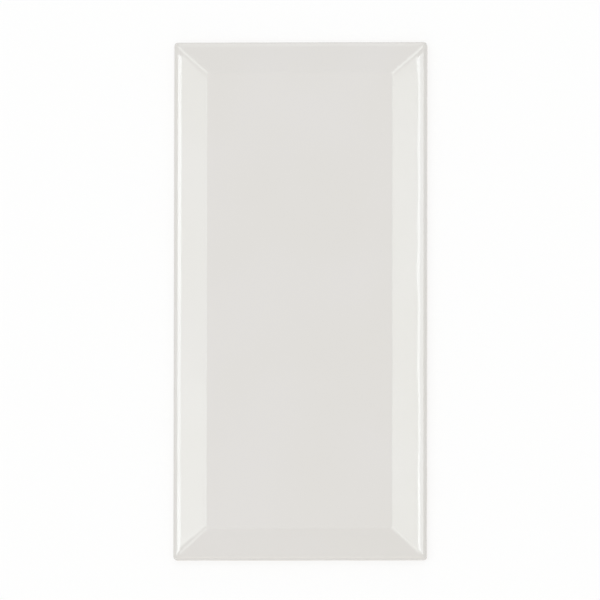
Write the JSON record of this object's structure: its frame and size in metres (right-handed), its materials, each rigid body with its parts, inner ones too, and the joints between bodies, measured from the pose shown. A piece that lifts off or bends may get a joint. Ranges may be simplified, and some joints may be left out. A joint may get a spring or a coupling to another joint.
{
  "type": "subway wall tile",
  "caption": "Rectangular bevelled ceramic wall tile with a glossy off-white glazed face, wide mitred bevels, rolled edges and a keyed back for adhesive.",
  "frame": {"origin": "middle of the back, in the plane of the lands that stand between the keying recesses", "axes": "+X across the tile, +Y along its length, +Z out of the glazed face"},
  "size_m": [0.073, 0.1494, 0.0079],
  "materials": {
    "glazed_biscuit": "glossy off-white glaze over a matt cream biscuit"
  },
  "bodies": {
    "root": {"bevelled_tile": "glazed_biscuit"}
  },
  "joints": []
}
